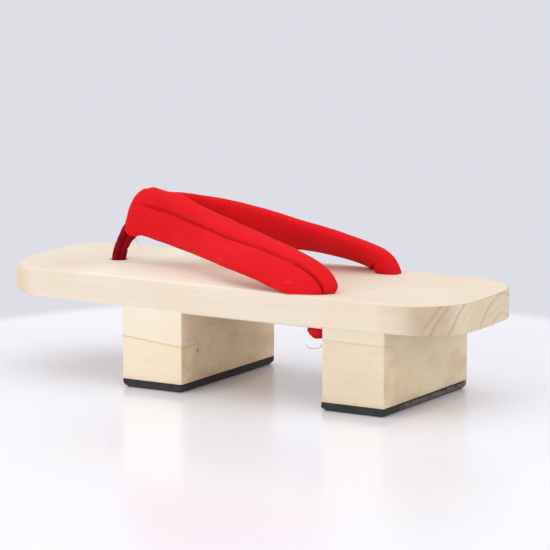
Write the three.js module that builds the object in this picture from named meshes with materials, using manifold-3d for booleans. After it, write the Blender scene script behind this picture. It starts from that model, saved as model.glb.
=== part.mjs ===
// Geta sandal: a wooden board on two cross teeth with rubber tread pads, and a
// padded cloth thong held by a toe loop. Millimetres. +X runs from heel to toe,
// +Y to one side, +Z up. The origin is on the ground under the middle of the board.

import * as THREE from 'three';
import { mergeVertices } from 'three/addons/utils/BufferGeometryUtils.js';
import { LoftGeometry } from 'three/addons/geometries/LoftGeometry.js';
import Module from 'manifold-3d';

const wasm = await Module();
wasm.setup();

// ---------------------------------------------------------------- sizes ----
const BOARD_LENGTH = 264;      // heel to toe, along the middle
const BOARD_WIDTH = 90.5;      // across the straight sides
const BOARD_THICK = 15.7;      // between the teeth
const REBATE = 1.3;            // the underside is cut this much thinner from
                               // each tooth seat out to the end of the board
const TOE_RADIUS = 25;         // plan corners at the toe
const HEEL_RADIUS = 28;        // plan corners at the heel
const TOE_SKEW = 4.4;          // the ends are not quite square to the sides:
const HEEL_SKEW = 2.0;         // x shift of each end at one side
const TOE_BOW = 0.8;           // how far each end bulges beyond its corners
const HEEL_BOW = 3.6;
const OUTLINE_SHIFT = -0.79;   // brings the middle of the skewed outline to x = 0
const TOE_ROUND = 3.4;         // edge rounding at the toe end, top
const TOE_UNDER = 5.2;         // edge rounding at the toe end, underside
const SIDE_ROUND = 1.2;        // edge rounding along the sides
const HEEL_ROUND = 0.9;        // edge rounding at the heel end

const TOOTH_HEIGHT = 36;       // wood between board and pad
const PAD_THICK = 4.1;
const PAD_BEVEL = 1.6;         // chamfer round each pad's tread
const FIT_GAP = 0.3;           // room left where cloth meets a neighbour
const GLUE_GAP = 0.02;         // room left between flat glued faces

// a row for each tooth: its toe-side and heel-side faces, its two ends, and how
// far its pad stands out at the toe side
const TEETH = [
  { name: 'front', toeX: 51.6, heelX: 16.5, sideA: 45.1, sideB: -45.1, padProud: 0 },
  { name: 'rear', toeX: -64.0, heelX: -98.6, sideA: 45.1, sideB: -40.6, padProud: 1.1 },
];

const HOLE_RADIUS = 5.8;       // rear cord holes through the board
const TOE_HOLE_RADIUS = 4.2;
const TOE_HOLE_X = 83.0;
const REAR_HOLE_X = -56.2;
const REAR_HOLE_Y = 34.4;
const CORD_RADIUS = 5.2;       // the strap's drawn-in end, inside the hole

// The strap is a padded band with an oval section. Each row is one section of an
// arm, from the toe fold back and down to the rear hole: its centre, the band's
// half width and half thickness, the plan angle between the arm and the middle
// line, the angle by which the outer face looks up, and how far the upper edge
// is pulled back towards the heel.
const ARM = [
  { x: 69.1, y: 3.2,  z: 82.8, halfWidth: 11.5, halfThick: 3.2, heading: 0,  faceUp: 0,  lean: 4.4 },
  { x: 62.0, y: 3.9,  z: 82.0, halfWidth: 12.1, halfThick: 4.1, heading: 2,  faceUp: 1,  lean: 1.6 },
  { x: 53.0, y: 4.5,  z: 79.7, halfWidth: 11.7, halfThick: 4.5, heading: 6,  faceUp: 2,  lean: 0 },
  { x: 42.0, y: 6.9,  z: 78.9, halfWidth: 12.6, halfThick: 4.7, heading: 13, faceUp: 4,  lean: 0 },
  { x: 28.0, y: 12.2, z: 77.3, halfWidth: 12.4, halfThick: 4.8, heading: 21, faceUp: 9,  lean: 0 },
  { x: 15.0, y: 17.8, z: 75.6, halfWidth: 12.1, halfThick: 4.8, heading: 22, faceUp: 18, lean: 0 },
  { x: 3.0,  y: 22.8, z: 73.9, halfWidth: 12.1, halfThick: 4.8, heading: 21, faceUp: 31, lean: 0 },
  { x: -9.0, y: 27.2, z: 72.1, halfWidth: 12.5, halfThick: 4.7, heading: 18, faceUp: 48, lean: 0 },
  { x: -22.0, y: 31.0, z: 69.6, halfWidth: 12.5, halfThick: 4.6, heading: 13, faceUp: 55, lean: 0 },
  { x: -35.0, y: 33.8, z: 66.6, halfWidth: 12.0, halfThick: 4.5, heading: 9,  faceUp: 55, lean: 0 },
  { x: -45.0, y: 35.1, z: 63.8, halfWidth: 11.1, halfThick: 4.6, heading: 5,  faceUp: 51, lean: 0 },
  { x: -51.4, y: 35.3, z: 60.8, halfWidth: 10.2, halfThick: 4.9, heading: 2,  faceUp: 41, lean: 0 },
  { x: -54.8, y: 34.9, z: 57.4, halfWidth: 9.9,  halfThick: 5.3, heading: 0,  faceUp: 28, lean: 0 },
  { x: -56.0, y: 34.5, z: 52.6, halfWidth: 9.6,  halfThick: 5.4, heading: 0,  faceUp: 20, lean: 0 },
];
const INNER_THICK = 0.80;      // the inner face is this much flatter than the outer
const FOLD_LEAN = 20;          // the toe fold leans back this many degrees
const STRAP_SIDES = 24;        // points round one section
const STRAP_STEPS = 34;        // sections along one arm

// The toe loop is two round strands side by side. Each row is one section, from
// the knot up to the fold: its centre in the middle plane, the radius of each
// strand, half the distance between the strands, and the plan angle of the pair.
const LOOP = [
  { x: 83.0, z: 37.0, strand: 1.9, apart: 1.6, turn: 36 },
  { x: 83.0, z: 50.0, strand: 1.9, apart: 1.6, turn: 36 },
  { x: 82.9, z: 56.5, strand: 2.0, apart: 1.6, turn: 34 },
  { x: 81.6, z: 61.5, strand: 1.9, apart: 1.6, turn: 30 },
  { x: 79.2, z: 66.5, strand: 2.0, apart: 1.7, turn: 24 },
  { x: 75.9, z: 71.0, strand: 2.3, apart: 2.0, turn: 14 },
  { x: 72.4, z: 75.0, strand: 2.4, apart: 2.2, turn: 8 },
  { x: 69.8, z: 78.0, strand: 2.2, apart: 2.1, turn: 8 },
];
const LOOP_SIDES = 20;
const LOOP_STEPS = 15;

// the finished cord ends under the board: centre and half sizes
const KNOTS = [
  { name: 'toe', x: TOE_HOLE_X, y: 0, halfX: 7.4, halfY: 7.8, drop: 5.4 },
  { name: 'rear', x: -57.3, y: REAR_HOLE_Y + 0.8, halfX: 6.3, halfY: 8.4, drop: 6.9 },
];

const PAD_TOP = PAD_THICK;
const BOARD_BOTTOM = PAD_THICK + TOOTH_HEIGHT;
const BOARD_TOP = BOARD_BOTTOM + BOARD_THICK;
const HALF = BOARD_WIDTH / 2;

// -------------------------------------------------------------- helpers ----
const rad = THREE.MathUtils.degToRad;
const V = (x, y, z) => new THREE.Vector3(x, y, z);

// a closed geometry as a solid, with its faces pointing out
function solid(geometry) {
  const plain = new THREE.BufferGeometry();
  plain.setAttribute('position', geometry.attributes.position);
  plain.setIndex(geometry.index);
  const merged = mergeVertices(plain, 1e-4);
  const p = merged.attributes.position.array;
  const idx = Array.from(merged.index.array);
  const tri = [];
  let volume = 0;
  const a = V(), b = V(), c = V();
  for (let i = 0; i < idx.length; i += 3) {
    const [u, v, w] = [idx[i], idx[i + 1], idx[i + 2]];
    if (u === v || v === w || w === u) continue;
    tri.push(u, v, w);
    volume += a.fromArray(p, 3 * u).dot(b.fromArray(p, 3 * v).cross(c.fromArray(p, 3 * w)));
  }
  if (volume < 0) tri.reverse();
  return new wasm.Manifold(new wasm.Mesh({
    numProp: 3, vertProperties: new Float32Array(p), triVerts: new Uint32Array(tri),
  }));
}

// a box between two corners, used to trim
function slab(x0, x1, y0, y1, z0, z1) {
  const g = new THREE.BoxGeometry(x1 - x0, y1 - y0, z1 - z0);
  g.translate((x0 + x1) / 2, (y0 + y1) / 2, (z0 + z1) / 2);
  return solid(g);
}

function rod(x, y, radius, z0, z1, sides = 36) {
  const g = new THREE.CylinderGeometry(radius, radius, z1 - z0, sides);
  g.rotateX(Math.PI / 2);
  g.translate(x, y, (z0 + z1) / 2);
  return solid(g);
}

function geometryOf(body) {
  const m = body.getMesh();
  const g = new THREE.BufferGeometry();
  const p = new Float32Array((m.vertProperties.length / m.numProp) * 3);
  for (let i = 0; i < p.length / 3; i++) {
    for (let k = 0; k < 3; k++) p[3 * i + k] = m.vertProperties[m.numProp * i + k];
  }
  g.setAttribute('position', new THREE.BufferAttribute(p, 3));
  g.setIndex(new THREE.BufferAttribute(new Uint32Array(m.triVerts), 1));
  return g;
}

function piece(name, body, colour, roughness, metalness = 0) {
  const mesh = new THREE.Mesh(geometryOf(body),
    new THREE.MeshStandardMaterial({ color: colour, roughness, metalness, flatShading: true }));
  mesh.name = name;
  return mesh;
}

// smooth values of one table column at a place t from 0 to 1 along the rows
function column(rows, key, t) {
  const s = t * (rows.length - 1);
  const i = Math.min(rows.length - 2, Math.floor(s));
  const f = s - i;
  const at = (k) => rows[Math.max(0, Math.min(rows.length - 1, k))][key];
  const [p0, p1, p2, p3] = [at(i - 1), at(i), at(i + 1), at(i + 2)];
  return 0.5 * (2 * p1 + (p2 - p0) * f + (2 * p0 - 5 * p1 + 4 * p2 - p3) * f * f
    + (3 * p1 - p0 - 3 * p2 + p3) * f * f * f);
}

// ---------------------------------------------------------------- board ----
// One plan outline, its rounding at the upper and lower edge by place.
function boardOutline() {
  const pts = [];
  const L = BOARD_LENGTH / 2;
  const corner = (end, side, r, from, to, n) => {
    for (let i = 0; i <= n; i++) {
      const a = rad(from + (to - from) * i / n);
      pts.push([end * (L - r) + r * Math.cos(a), side * (HALF - r) + r * Math.sin(a)]);
    }
  };
  const along = (x0, y0, x1, y1, n) => {
    for (let i = 1; i < n; i++) pts.push([x0 + (x1 - x0) * i / n, y0 + (y1 - y0) * i / n]);
  };
  corner(1, 1, TOE_RADIUS, 0, 90, 12);
  along(L - TOE_RADIUS, HALF, -L + HEEL_RADIUS, HALF, 8);
  corner(-1, 1, HEEL_RADIUS, 90, 180, 12);
  along(-L, HALF - HEEL_RADIUS, -L, -HALF + HEEL_RADIUS, 6);
  corner(-1, -1, HEEL_RADIUS, 180, 270, 12);
  along(-L + HEEL_RADIUS, -HALF, L - TOE_RADIUS, -HALF, 8);
  corner(1, -1, TOE_RADIUS, 270, 360, 12);
  along(L, -HALF + TOE_RADIUS, L, HALF - TOE_RADIUS, 6);
  const smooth = THREE.MathUtils.smoothstep;
  const out = pts.map(([x, y]) => {
    const v = y / HALF;
    const toe = x > 0;
    const w = toe ? smooth(x, 20, L - TOE_RADIUS) : smooth(-x, 20, L - HEEL_RADIUS);
    const shift = toe ? -(TOE_BOW * v * v + TOE_SKEW * v) : (HEEL_BOW * v * v - HEEL_SKEW * v);
    return { x: x + w * shift + OUTLINE_SHIFT, y };
  });
  const n = out.length;
  out.forEach((p, i) => {
    const a = out[(i + n - 1) % n], b = out[(i + 1) % n];
    const d = Math.hypot(b.x - a.x, b.y - a.y);
    p.nx = (b.y - a.y) / d;
    p.ny = -(b.x - a.x) / d;
    const toe = smooth(p.nx, 0.05, 0.75);
    const heel = smooth(-p.nx, 0.05, 0.75);
    p.top = SIDE_ROUND + (TOE_ROUND - SIDE_ROUND) * toe + (HEEL_ROUND - SIDE_ROUND) * heel;
    p.under = SIDE_ROUND + (TOE_UNDER - SIDE_ROUND) * toe;
  });
  return out;
}

function makeBoard() {
  const outline = boardOutline();
  const inset = (r, h) => (h >= r ? 0 : r - Math.sqrt(r * r - (r - h) * (r - h)));
  const low = [0, 0.3, 0.8, 1.6, 3.0, 5.2];
  const high = [3.4, 2.0, 1.1, 0.5, 0.15, 0];
  const sections = [
    ...low.map((h) => outline.map((p) => V(p.x - p.nx * inset(p.under, h), p.y - p.ny * inset(p.under, h), BOARD_BOTTOM + h))),
    ...high.map((h) => outline.map((p) => V(p.x - p.nx * inset(p.top, h), p.y - p.ny * inset(p.top, h), BOARD_TOP - h))),
  ];
  let board = solid(new LoftGeometry(sections, { closed: true, capStart: true, capEnd: true }));
  const [front, rear] = TEETH;
  board = board.subtract(slab(front.heelX, 200, -60, 60, BOARD_BOTTOM - 5, BOARD_BOTTOM + REBATE));
  board = board.subtract(slab(-200, rear.toeX, -60, 60, BOARD_BOTTOM - 5, BOARD_BOTTOM + REBATE));
  for (const [x, y, r] of [[TOE_HOLE_X, 0, TOE_HOLE_RADIUS], [REAR_HOLE_X, REAR_HOLE_Y, HOLE_RADIUS], [REAR_HOLE_X, -REAR_HOLE_Y, HOLE_RADIUS]]) {
    board = board.subtract(rod(x, y, r, BOARD_BOTTOM - 2, BOARD_TOP + 2));
  }
  return board;
}

// ------------------------------------------------------- teeth and pads ----
// a plan rectangle with small corner arcs, drawn in by an inset
function blockRing(t, z, inset, corner, gapToe = 0, gapHeel = 0) {
  const ring = [];
  const x1 = t.toeX - inset - gapToe, x0 = t.heelX + inset + gapHeel;
  const y1 = t.sideA - inset, y0 = t.sideB + inset;
  const spots = [[x1, y1, 1, 1, 0], [x0, y1, -1, 1, 90], [x0, y0, -1, -1, 180], [x1, y0, 1, -1, 270]];
  for (const [x, y, sx, sy, from] of spots) {
    for (let i = 0; i <= 3; i++) {
      const a = rad(from + 30 * i);
      ring.push(V(x - sx * corner + corner * Math.cos(a), y - sy * corner + corner * Math.sin(a), z));
    }
  }
  return ring;
}

function makeTooth(t) {
  const z0 = PAD_TOP + GLUE_GAP, z1 = BOARD_BOTTOM + REBATE - GLUE_GAP;
  const gapToe = t.name === 'rear' ? GLUE_GAP : 0;
  const gapHeel = t.name === 'front' ? GLUE_GAP : 0;
  const edge = 0.5;
  return solid(new LoftGeometry([
    blockRing(t, z0, 0, 0.7, gapToe, gapHeel),
    blockRing(t, z1 - edge, 0, 0.7, gapToe, gapHeel),
    blockRing(t, z1, 0.02, 0.7, gapToe, gapHeel),
  ], { closed: true, capStart: true, capEnd: true }));
}

function makePad(t) {
  const proud = -t.padProud;
  return solid(new LoftGeometry([
    blockRing(t, 0, PAD_BEVEL, 2.0, proud),
    blockRing(t, PAD_BEVEL * 0.45, PAD_BEVEL * 0.42, 1.7, proud),
    blockRing(t, PAD_BEVEL, 0.1, 1.3, proud),
    blockRing(t, PAD_TOP, 0, 1.0, proud * 0.4),
  ], { closed: true, capStart: true, capEnd: true }));
}

// ---------------------------------------------------------------- strap ----
// One padded section: an oval a little squarer than an ellipse.
function padded(centre, w, n, halfWidth, halfThick, lean) {
  const ring = [];
  for (let i = 0; i < STRAP_SIDES; i++) {
    const a = 2 * Math.PI * i / STRAP_SIDES;
    const soft = (v) => Math.sign(v) * Math.abs(v) ** 0.84;
    const cw = soft(Math.cos(a));
    const cn = soft(Math.sin(a)) * (Math.sin(a) < 0 ? INNER_THICK : 1);
    const p = centre.clone().addScaledVector(w, halfWidth * cw).addScaledVector(n, halfThick * cn);
    p.x -= lean * Math.max(0, cw - 0.15) ** 2;
    ring.push(p);
  }
  return ring;
}

function armSections() {
  const centre = (t) => V(column(ARM, 'x', t), column(ARM, 'y', t), column(ARM, 'z', t));
  const sections = [];
  // round the toe fold, from the middle plane to the start of the arm
  const first = ARM[0];
  const foldUp = V(-Math.sin(rad(FOLD_LEAN)), 0, Math.cos(rad(FOLD_LEAN)));
  const bend = first.y;
  for (const deg of [92, 70, 48, 24]) {
    const a = rad(deg);
    const out = V(Math.sin(a), Math.cos(a), 0);
    const c = V(first.x, 0, first.z).addScaledVector(out, bend);
    sections.push(padded(c, foldUp, out, first.halfWidth - 0.6 * Math.sin(a), first.halfThick - 0.1, first.lean));
  }
  for (let i = 0; i <= STRAP_STEPS; i++) {
    const t = i / STRAP_STEPS;
    const c = centre(t);
    const run = centre(Math.min(1, t + 0.004)).sub(centre(Math.max(0, t - 0.004))).normalize();
    const h = rad(column(ARM, 'heading', t));
    const outward = V(Math.sin(h), Math.cos(h), 0);
    const up = V().crossVectors(outward, run).normalize();
    if (up.z < 0 && run.z > -0.9) up.negate();
    const f = rad(column(ARM, 'faceUp', t));
    const n = outward.clone().multiplyScalar(Math.cos(f)).addScaledVector(up, Math.sin(f));
    let w = outward.clone().multiplyScalar(-Math.sin(f)).addScaledVector(up, Math.cos(f));
    const blend = Math.max(0, 1 - t * (ARM.length - 1) / 1.6);
    w = w.lerp(foldUp, blend).normalize();
    sections.push(padded(c, w, n, column(ARM, 'halfWidth', t), column(ARM, 'halfThick', t), column(ARM, 'lean', t)));
  }
  return sections;
}

function knot(k, side) {
  const g = new THREE.SphereGeometry(1, 20, 14);
  g.scale(k.halfX, k.halfY, k.drop);
  g.translate(k.x, side * k.y, BOARD_BOTTOM);
  const under = k.name === 'toe' ? BOARD_BOTTOM + REBATE : BOARD_BOTTOM;
  return solid(g).subtract(slab(-200, 200, -80, 80, under - FIT_GAP, 100));
}

function makeStrap(loopRoom) {
  const arm = solid(new LoftGeometry(armSections(), { closed: true, capStart: true, capEnd: true }))
    .subtract(slab(-200, 0, 0, 80, 20, BOARD_TOP + FIT_GAP));
  const cord = rod(REAR_HOLE_X, REAR_HOLE_Y, CORD_RADIUS, BOARD_BOTTOM - 4, BOARD_TOP + 2, 24);
  const tail = knot(KNOTS[1], 1);
  const half = arm.add(cord).add(tail);
  return half.add(half.mirror([0, 1, 0])).subtract(loopRoom);
}

// ------------------------------------------------------------- toe loop ----
function loopSections(extra, reach) {
  const centre = (t) => V(column(LOOP, 'x', t), 0, column(LOOP, 'z', t));
  const sections = [];
  for (let i = 0; i <= LOOP_STEPS; i++) {
    const t = reach * i / LOOP_STEPS;
    const run = centre(Math.min(1, t + 0.01)).sub(centre(Math.max(0, t - 0.01))).normalize();
    const turn = rad(column(LOOP, 'turn', t));
    const side = V(Math.cos(turn), Math.sin(turn), 0);
    side.addScaledVector(run, -side.dot(run)).normalize();
    const face = V().crossVectors(run, side);
    const r = column(LOOP, 'strand', t) + extra, d = column(LOOP, 'apart', t);
    const ring = [];
    for (let k = 0; k < LOOP_SIDES; k++) {
      const a = 2 * Math.PI * k / LOOP_SIDES;
      // the outline of two circles side by side, as a distance from the middle
      const cs = Math.abs(Math.cos(a)), sn = Math.abs(Math.sin(a));
      const half = d * cs + Math.sqrt(Math.max(0, r * r - d * d * sn * sn));
      ring.push(centre(t).addScaledVector(side, half * Math.cos(a)).addScaledVector(face, half * Math.sin(a)));
    }
    sections.push(ring);
  }
  return sections;
}

const loopBody = (extra, reach) => solid(new LoftGeometry(loopSections(extra, reach), { closed: true, capStart: true, capEnd: true }));

const loopRoom = loopBody(FIT_GAP, 1).add((() => {
  const last = LOOP[LOOP.length - 1];
  const g = new THREE.SphereGeometry(last.strand + last.apart + FIT_GAP, 16, 12);
  g.scale(1, 0.62, 0.5);
  g.translate(last.x, 0, last.z);
  return solid(g);
})());
const toeLoop = loopBody(0, 0.96).add(knot(KNOTS[0], 1));

// ------------------------------------------------------------- assembly ----
const WOOD = '#ecdcc2', RUBBER = '#1c1c20', RED = '#e01824', CRIMSON = '#7a0d16';
const geta = new THREE.Group();
geta.add(piece('board', makeBoard(), WOOD, 0.62));
for (const t of TEETH) {
  geta.add(piece(t.name + '_tooth', makeTooth(t), WOOD, 0.62));
  geta.add(piece(t.name + '_pad', makePad(t), RUBBER, 0.75));
}
geta.add(piece('strap', makeStrap(loopRoom), RED, 0.85));
geta.add(piece('toe_loop', toeLoop, CRIMSON, 0.95));

export default geta;
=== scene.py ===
"""Geta sandal: the looks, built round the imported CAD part. Metres in Blender, millimetres in the numbers here.
+X runs from heel to toe, +Y to the side that faces the camera, +Z up, origin on the ground under the board's middle."""

import math

import bmesh
import bpy
import numpy as np
from mathutils import Matrix, Vector


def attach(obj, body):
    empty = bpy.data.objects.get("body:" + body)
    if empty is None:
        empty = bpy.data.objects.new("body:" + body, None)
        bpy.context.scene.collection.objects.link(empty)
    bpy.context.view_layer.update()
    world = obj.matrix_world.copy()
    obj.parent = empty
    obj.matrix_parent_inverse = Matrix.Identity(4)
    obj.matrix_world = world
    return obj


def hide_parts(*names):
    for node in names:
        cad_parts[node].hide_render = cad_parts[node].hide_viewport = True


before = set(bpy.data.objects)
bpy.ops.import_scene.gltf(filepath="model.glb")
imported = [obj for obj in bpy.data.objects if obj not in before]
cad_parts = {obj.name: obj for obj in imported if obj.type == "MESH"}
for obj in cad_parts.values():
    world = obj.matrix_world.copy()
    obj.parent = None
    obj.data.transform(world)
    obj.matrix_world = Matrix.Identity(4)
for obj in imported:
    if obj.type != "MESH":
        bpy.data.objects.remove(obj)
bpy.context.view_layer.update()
scene = bpy.context.scene

# ------------------------------------------------------------------ sizes --
LENGTH, WIDTH, THICK, REBATE = 264.0, 90.5, 15.7, 1.3
TOE_R, HEEL_R, TOE_SKEW, HEEL_SKEW, TOE_BOW, HEEL_BOW, SHIFT = 25.0, 28.0, 4.4, 2.0, 0.8, 3.6, -0.79
TOE_ROUND, TOE_UNDER, SIDE_ROUND, HEEL_ROUND = 3.4, 5.2, 1.2, 0.9
PAD_TOP, BOTTOM = 4.1, 40.1
TOP = BOTTOM + THICK
HALF = WIDTH / 2
FRONT = dict(toe=51.6, heel=16.5, a=45.1, b=-45.1, proud=0.0)
REAR = dict(toe=-64.0, heel=-98.6, a=45.1, b=-40.6, proud=1.1)
TOE_HOLE = (83.0, 0.0, 4.2)
REAR_HOLE = (-56.2, 34.4, 5.8)


# ------------------------------------------------------------ small tools --
def smooth(x, a, b):
    t = np.clip((np.asarray(x, float) - a) / (b - a), 0, 1)
    return t * t * (3 - 2 * t)


_grids = {}


def noise2(u, v, seed):
    """Smooth value noise from -1 to 1, one cell a unit."""
    if seed not in _grids:
        _grids[seed] = np.random.default_rng(seed).uniform(-1, 1, (128, 128))
    g = _grids[seed]
    u, v = np.broadcast_arrays(np.asarray(u, float), np.asarray(v, float))
    iu, iv = np.floor(u).astype(int), np.floor(v).astype(int)
    fu, fv = u - iu, v - iv
    fu, fv = fu ** 3 * (fu * (fu * 6 - 15) + 10), fv ** 3 * (fv * (fv * 6 - 15) + 10)
    at = lambda a, b: g[a % 128, b % 128]
    top = at(iu, iv) * (1 - fu) + at(iu + 1, iv) * fu
    low = at(iu, iv + 1) * (1 - fu) + at(iu + 1, iv + 1) * fu
    return top * (1 - fv) + low * fv


def unit(a):
    return a / np.maximum(1e-9, np.linalg.norm(a, axis=-1, keepdims=True))


def catmull(rows, t):
    n = len(rows)
    s = np.clip(t, 0, 1) * (n - 1)
    i = np.minimum(n - 2, np.floor(s).astype(int))
    f = (s - i)[:, None]
    at = lambda k: rows[np.clip(k, 0, n - 1)]
    p0, p1, p2, p3 = at(i - 1), at(i), at(i + 1), at(i + 2)
    return 0.5 * (2 * p1 + (p2 - p0) * f + (2 * p0 - 5 * p1 + 4 * p2 - p3) * f * f + (3 * p1 - p0 - 3 * p2 + p3) * f ** 3)


def new_object(name, verts, faces, uv=None, sharp=None):
    me = bpy.data.meshes.new(name)
    me.from_pydata((np.asarray(verts, float) * 0.001).tolist(), [], faces)
    if uv is not None:
        layer = me.uv_layers.new(name="UVMap")
        layer.data.foreach_set("uv", np.asarray(uv, np.float32).ravel())
    me.validate()
    me.shade_smooth()
    if sharp:
        me.set_sharp_from_angle(angle=math.radians(sharp))
    ob = bpy.data.objects.new(name, me)
    scene.collection.objects.link(ob)
    return ob


def loft(rings, start="ngon", end="ngon", lengths=None, around=None):
    """Rings (m, n, 3) joined into a closed skin, faces out when rings turn counter-clockwise seen from the end.
    Returns verts, faces and one uv for each face corner."""
    m, n, _ = rings.shape
    verts = rings.reshape(-1, 3)
    faces, uv = [], []
    ls = np.arange(m) if lengths is None else lengths
    ar = np.linspace(0, 1, n + 1) if around is None else around
    for i in range(m - 1):
        for j in range(n):
            k = (j + 1) % n
            faces.append((i * n + j, i * n + k, (i + 1) * n + k, (i + 1) * n + j))
            uv += [(ls[i], ar[j]), (ls[i], ar[j + 1]), (ls[i + 1], ar[j + 1]), (ls[i + 1], ar[j])]
    if start == "ngon":
        faces.append(tuple(range(n - 1, -1, -1)))
        uv += [(ls[0], ar[j]) for j in range(n - 1, -1, -1)]
    if end == "ngon":
        faces.append(tuple((m - 1) * n + j for j in range(n)))
        uv += [(ls[-1], ar[j]) for j in range(n)]
    return verts, faces, uv


def outward(ob):
    """Turns the faces out."""
    bm = bmesh.new()
    bm.from_mesh(ob.data)
    bmesh.ops.recalc_face_normals(bm, faces=bm.faces)
    bm.to_mesh(ob.data)
    bm.free()
    return ob


def tube(name, pts, radius, sides=12, flat=1.0, wobble=0.0, seed=1, steps=4):
    """A round skin along a line of points; radius is one number or one a point; flat squeezes it upright."""
    pts = np.asarray(pts, float)
    n = len(pts)
    t = np.linspace(0, 1, (n - 1) * steps + 1)
    rad = np.full(n, float(radius)) if np.isscalar(radius) else np.asarray(radius, float)
    line = catmull(np.column_stack([pts, rad]), t)
    c, r = line[:, :3], line[:, 3]
    run = unit(np.gradient(c, axis=0))
    side = np.cross(run[0], (0.0, 0.0, 1.0))
    if np.linalg.norm(side) < 0.1:
        side = np.cross(run[0], (0.0, 1.0, 0.0))
    rings, length, a = [], [0.0], np.linspace(0, 2 * math.pi, sides, endpoint=False)
    for i in range(len(c)):
        side = unit(side - run[i] * side.dot(run[i]))
        up = np.cross(run[i], side)
        rr = r[i] * (1 + wobble * noise2(a * sides / 6 / math.pi * 2, np.full(sides, i * 0.35), seed))
        rings.append(c[i] + np.outer(rr * np.cos(a), side) + np.outer(rr * flat * np.sin(a), up))
        if i:
            length.append(length[-1] + np.linalg.norm(c[i] - c[i - 1]))
    verts, faces, uv = loft(np.array(rings), lengths=np.array(length) * 0.001, around=np.linspace(0, 1, sides + 1) * 2 * math.pi * r.mean() * 0.001)
    return outward(new_object(name, verts, faces, uv, sharp=60))


def cut(ob, cutters, bevel=0.0):
    for c in cutters:
        m = ob.modifiers.new("cut", "BOOLEAN")
        m.operation, m.solver, m.object = "DIFFERENCE", "EXACT", c
    if bevel:
        m = ob.modifiers.new("bevel", "BEVEL")
        m.width, m.segments, m.limit_method, m.angle_limit = bevel * 0.001, 2, "ANGLE", math.radians(50)
    graph = bpy.context.evaluated_depsgraph_get()
    me = bpy.data.meshes.new_from_object(ob.evaluated_get(graph))
    ob.modifiers.clear()
    old, ob.data = ob.data, me
    me.name = ob.name
    bpy.data.meshes.remove(old)
    for c in cutters:
        bpy.data.objects.remove(c)
    return ob


# ------------------------------------------------------------------ board --
def board_outline():
    L, pts = LENGTH / 2, []

    def corner(end, side, r, a0, n):
        for i in range(n + 1):
            a = math.radians(a0 + 90 * i / n)
            pts.append((end * (L - r) + r * math.cos(a), side * (HALF - r) + r * math.sin(a)))

    def along(x0, y0, x1, y1, n):
        for i in range(1, n):
            pts.append((x0 + (x1 - x0) * i / n, y0 + (y1 - y0) * i / n))

    corner(1, 1, TOE_R, 0, 30)
    along(L - TOE_R, HALF, -L + HEEL_R, HALF, 44)
    corner(-1, 1, HEEL_R, 90, 30)
    along(-L, HALF - HEEL_R, -L, -HALF + HEEL_R, 16)
    corner(-1, -1, HEEL_R, 180, 30)
    along(-L + HEEL_R, -HALF, L - TOE_R, -HALF, 44)
    corner(1, -1, TOE_R, 270, 30)
    along(L, -HALF + TOE_R, L, HALF - TOE_R, 18)
    p = np.array(pts)
    v = p[:, 1] / HALF
    toe = p[:, 0] > 0
    w = np.where(toe, smooth(p[:, 0], 20, L - TOE_R), smooth(-p[:, 0], 20, L - HEEL_R))
    shift = np.where(toe, -(TOE_BOW * v * v + TOE_SKEW * v), HEEL_BOW * v * v - HEEL_SKEW * v)
    x, y = p[:, 0] + w * shift + SHIFT, p[:, 1]
    dx, dy = np.roll(x, -1) - np.roll(x, 1), np.roll(y, -1) - np.roll(y, 1)
    d = np.hypot(dx, dy)
    nx, ny = dy / d, -dx / d
    at_toe, at_heel = smooth(nx, 0.05, 0.75), smooth(-nx, 0.05, 0.75)
    top = SIDE_ROUND + (TOE_ROUND - SIDE_ROUND) * at_toe + (HEEL_ROUND - SIDE_ROUND) * at_heel
    under = SIDE_ROUND + (TOE_UNDER - SIDE_ROUND) * at_toe
    return x, y, nx, ny, top, under


def make_board():
    x, y, nx, ny, top, under = board_outline()
    rings = []

    def ring(inset, z):
        rings.append(np.column_stack([x - nx * inset, y - ny * inset, z * np.ones_like(x)]))

    ring(under + 0.3, BOTTOM)
    for k in range(9):
        a = math.radians(90 * k / 8)
        ring(under * (1 - math.sin(a)), BOTTOM + under * (1 - math.cos(a)))
    for f in (0.25, 0.5, 0.75):
        ring(0.0, (BOTTOM + under) * (1 - f) + (TOP - top) * f)
    for k in range(8, -1, -1):
        a = math.radians(90 * k / 8)
        # sanding has worn the upper edge unevenly
        r = top * (1 + 0.16 * noise2(x / 23.0, y / 23.0, 11))
        ring(r * (1 - math.sin(a)), TOP - r * (1 - math.cos(a)))
    ring(top * 1.2 + 0.3, TOP)
    verts, faces, uv = loft(np.array(rings))
    ob = outward(new_object("foot_board", verts, faces))

    def prism(ring2, z0, z1, name="cutter"):
        r = np.array([[(px, py, z) for px, py in ring2] for z in (z0, z1)])
        v, f, _ = loft(r)
        return outward(new_object(name, v, f))

    def hole(cx, cy, r):
        a = np.linspace(0, 2 * math.pi, 48, endpoint=False)
        # the rims are eased
        prof = [(r + 3.2, TOP + 3.0), (r + 0.55, TOP + 0.02), (r + 0.12, TOP - 0.5), (r, TOP - 1.2), (r, BOTTOM + 2.6), (r + 0.15, BOTTOM + 1.4), (r + 3.0, BOTTOM - 2.5)]
        rr = np.array([[(cx + q * math.cos(t), cy + q * math.sin(t), z) for t in a] for q, z in prof])
        v, f, _ = loft(rr)
        return outward(new_object("cutter", v, f))

    cutters = [
        prism([(FRONT["heel"], -60), (200, -60), (200, 60), (FRONT["heel"], 60)], BOTTOM - 5, BOTTOM + REBATE),
        prism([(-200, -60), (REAR["toe"], -60), (REAR["toe"], 60), (-200, 60)], BOTTOM - 5, BOTTOM + REBATE),
        hole(*TOE_HOLE), hole(REAR_HOLE[0], REAR_HOLE[1], REAR_HOLE[2]), hole(REAR_HOLE[0], -REAR_HOLE[1], REAR_HOLE[2]),
    ]
    cut(ob, cutters)
    ob.data.shade_smooth()
    ob.data.set_sharp_from_angle(angle=math.radians(32))
    return ob


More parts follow.
